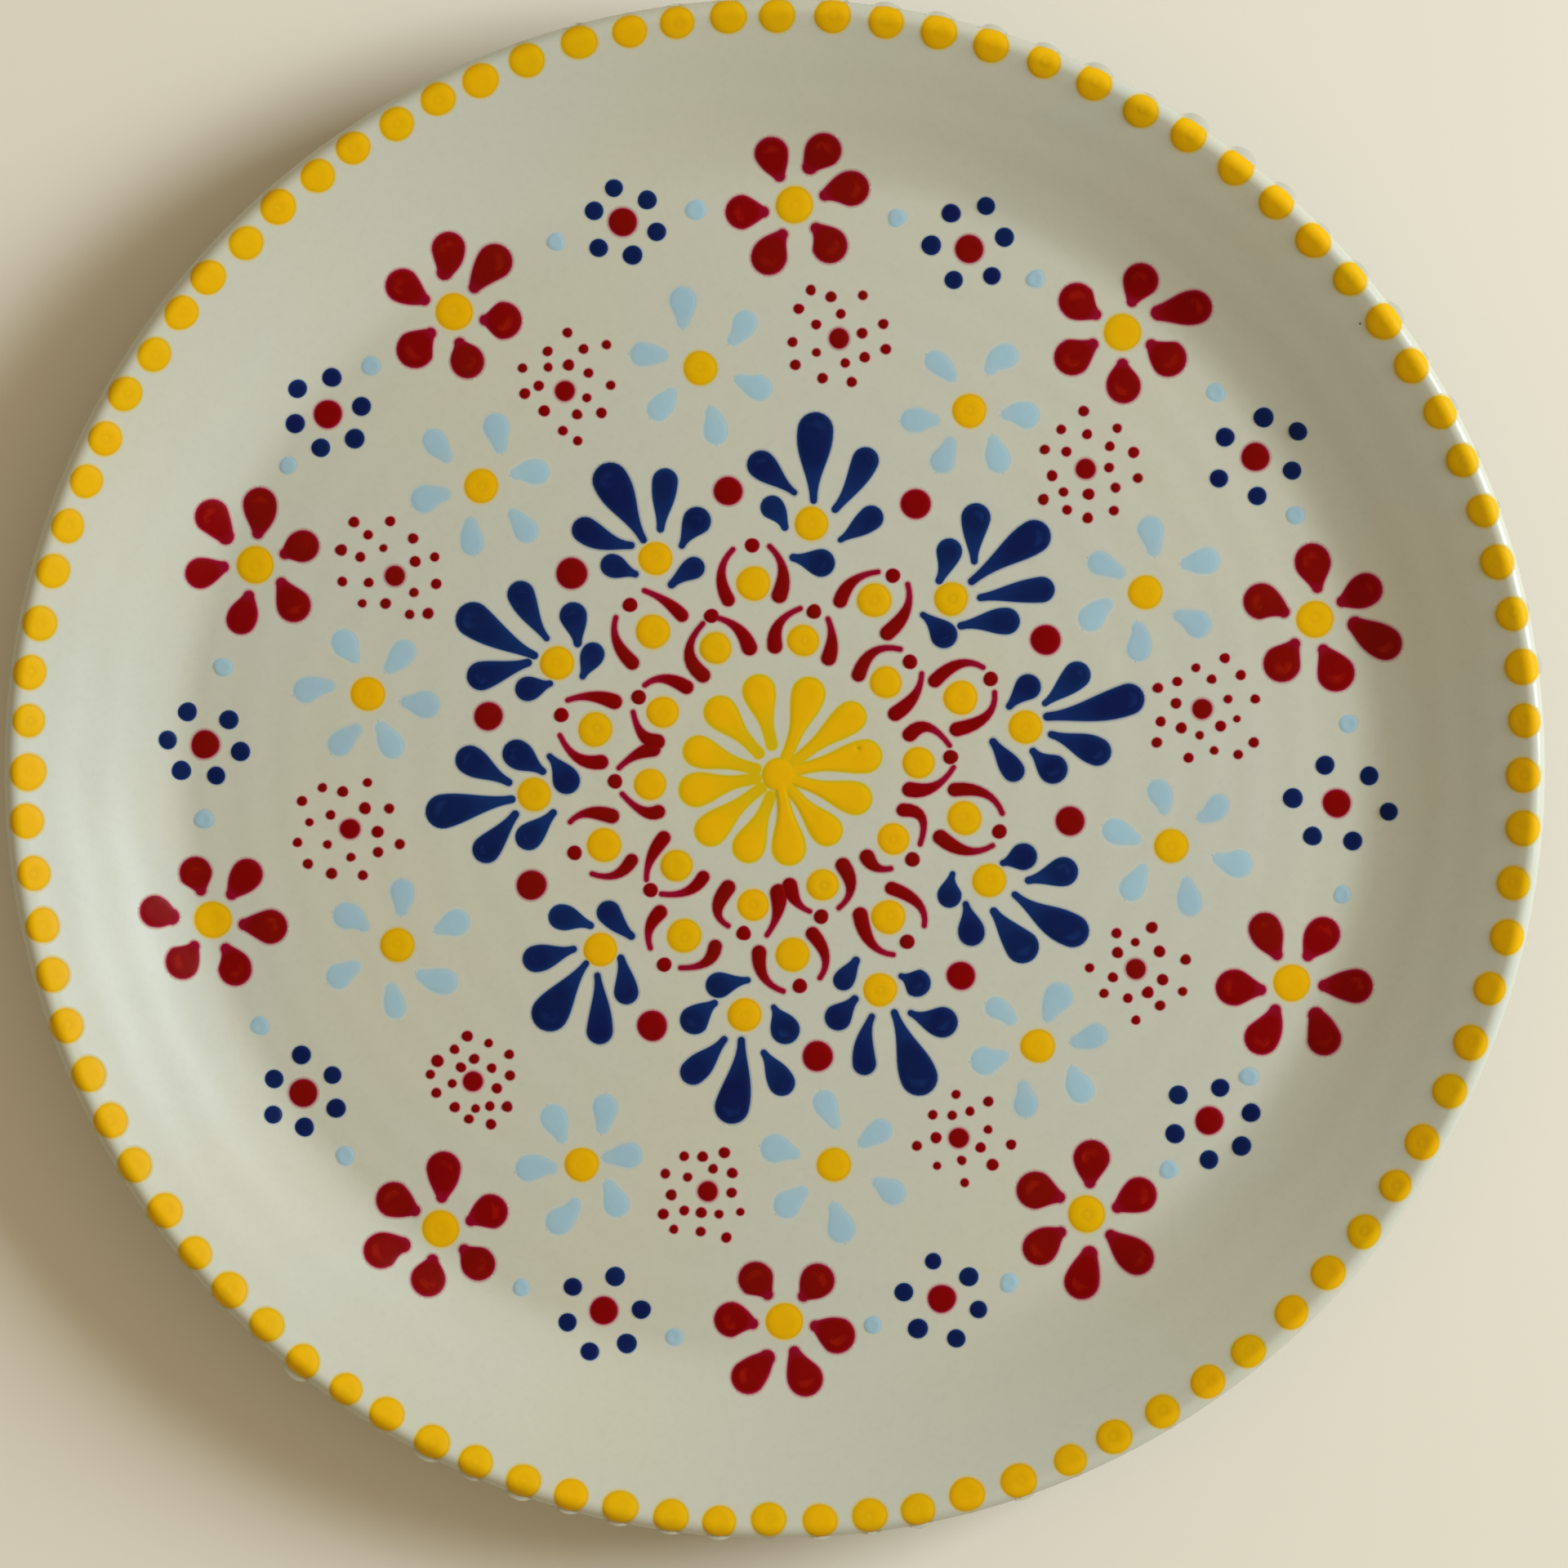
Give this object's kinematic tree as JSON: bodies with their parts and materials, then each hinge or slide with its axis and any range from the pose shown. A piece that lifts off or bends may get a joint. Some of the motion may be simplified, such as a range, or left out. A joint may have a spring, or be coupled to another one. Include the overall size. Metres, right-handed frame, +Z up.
{
  "type": "hand painted ceramic plate",
  "caption": "Round coupe plate with a flat floor, a gently raised rim and a low foot ring, its glaze covered in raised slip-trailed paint flowers and dots.",
  "frame": {"origin": "centre of the foot ring on the table", "axes": "+Z up out of the plate's floor, +X and +Y across the plate, +Y towards the top of the decoration as it is displayed"},
  "size_m": [0.25, 0.25, 0.019],
  "materials": {
    "cream_glaze": "glossy warm cream glaze with soft waviness and a few specks, bare clay on the foot's contact face",
    "yellow_paint": "thick satin yellow drop with a soft dimple",
    "mustard_paint": "thick satin mustard yellow, trailed in club-shaped petals",
    "red_paint": "glossy deep red, thinner and translucent towards the tails",
    "navy_paint": "glossy navy, lighter cobalt where it is drawn thin",
    "sky_paint": "soft satin pale blue with a faint dimple"
  },
  "bodies": {
    "root": {"plate_body": "cream_glaze", "daisy": "mustard_paint", "fan_centre_01": "yellow_paint", "fan_centre_02": "yellow_paint", "fan_centre_03": "yellow_paint", "fan_centre_04": "yellow_paint", "fan_centre_05": "yellow_paint", "fan_centre_06": "yellow_paint", "fan_centre_07": "yellow_paint", "fan_centre_08": "yellow_paint", "fan_centre_09": "yellow_paint", "fan_centre_10": "yellow_paint", "sky_flower_centre_01": "yellow_paint", "sky_flower_centre_02": "yellow_paint", "sky_flower_centre_03": "yellow_paint", "sky_flower_centre_04": "yellow_paint", "sky_flower_centre_05": "yellow_paint", "sky_flower_centre_06": "yellow_paint", "sky_flower_centre_07": "yellow_paint", "sky_flower_centre_08": "yellow_paint", "sky_flower_centre_09": "yellow_paint", "sky_flower_centre_10": "yellow_paint", "red_flower_centre_01": "yellow_paint", "red_flower_centre_02": "yellow_paint", "red_flower_centre_03": "yellow_paint", "red_flower_centre_04": "yellow_paint", "red_flower_centre_05": "yellow_paint", "red_flower_centre_06": "yellow_paint", "red_flower_centre_07": "yellow_paint", "red_flower_centre_08": "yellow_paint", "red_flower_centre_09": "yellow_paint", "red_flower_centre_10": "yellow_paint", "spray_centre_01": "red_paint", "spray_centre_02": "red_paint", "spray_centre_03": "red_paint", "spray_centre_04": "red_paint", "spray_centre_05": "red_paint", "spray_centre_06": "red_paint", "spray_centre_07": "red_paint", "spray_centre_08": "red_paint", "spray_centre_09": "red_paint", "spray_centre_10": "red_paint", "dot_flower_centre_01": "red_paint", "dot_flower_centre_02": "red_paint", "dot_flower_centre_03": "red_paint", "dot_flower_centre_04": "red_paint", "dot_flower_centre_05": "red_paint", "dot_flower_centre_06": "red_paint", "dot_flower_centre_07": "red_paint", "dot_flower_centre_08": "red_paint", "dot_flower_centre_09": "red_paint", "dot_flower_centre_10": "red_paint"}
  },
  "joints": []
}
